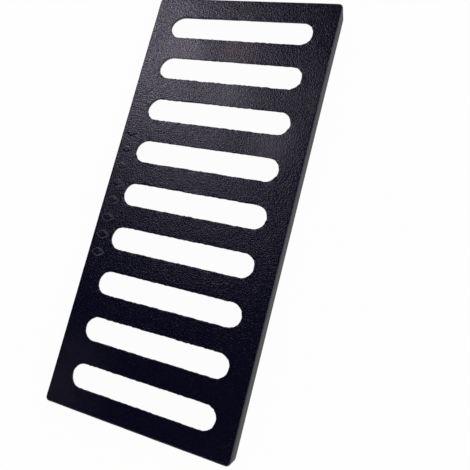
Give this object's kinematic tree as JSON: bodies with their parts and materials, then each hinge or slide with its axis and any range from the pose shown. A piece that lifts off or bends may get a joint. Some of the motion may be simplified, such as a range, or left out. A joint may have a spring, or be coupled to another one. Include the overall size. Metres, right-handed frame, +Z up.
{
  "type": "channel drain grate",
  "caption": "Rectangular cast iron cover for a drainage channel, with round-ended slots across it, a deep rim, ribs under the bars and a row of raised studs on one border.",
  "frame": {"origin": "centre of the rim's underside, on the plane that the grate rests on", "axes": "+Y along the channel, +X across it (the studded border is at -X), +Z up through the walking face"},
  "size_m": [0.223, 0.5, 0.0232],
  "materials": {
    "black_cast_iron": "sand cast, black dipped, semi-gloss"
  },
  "bodies": {
    "root": {"grate": "black_cast_iron"}
  },
  "joints": []
}
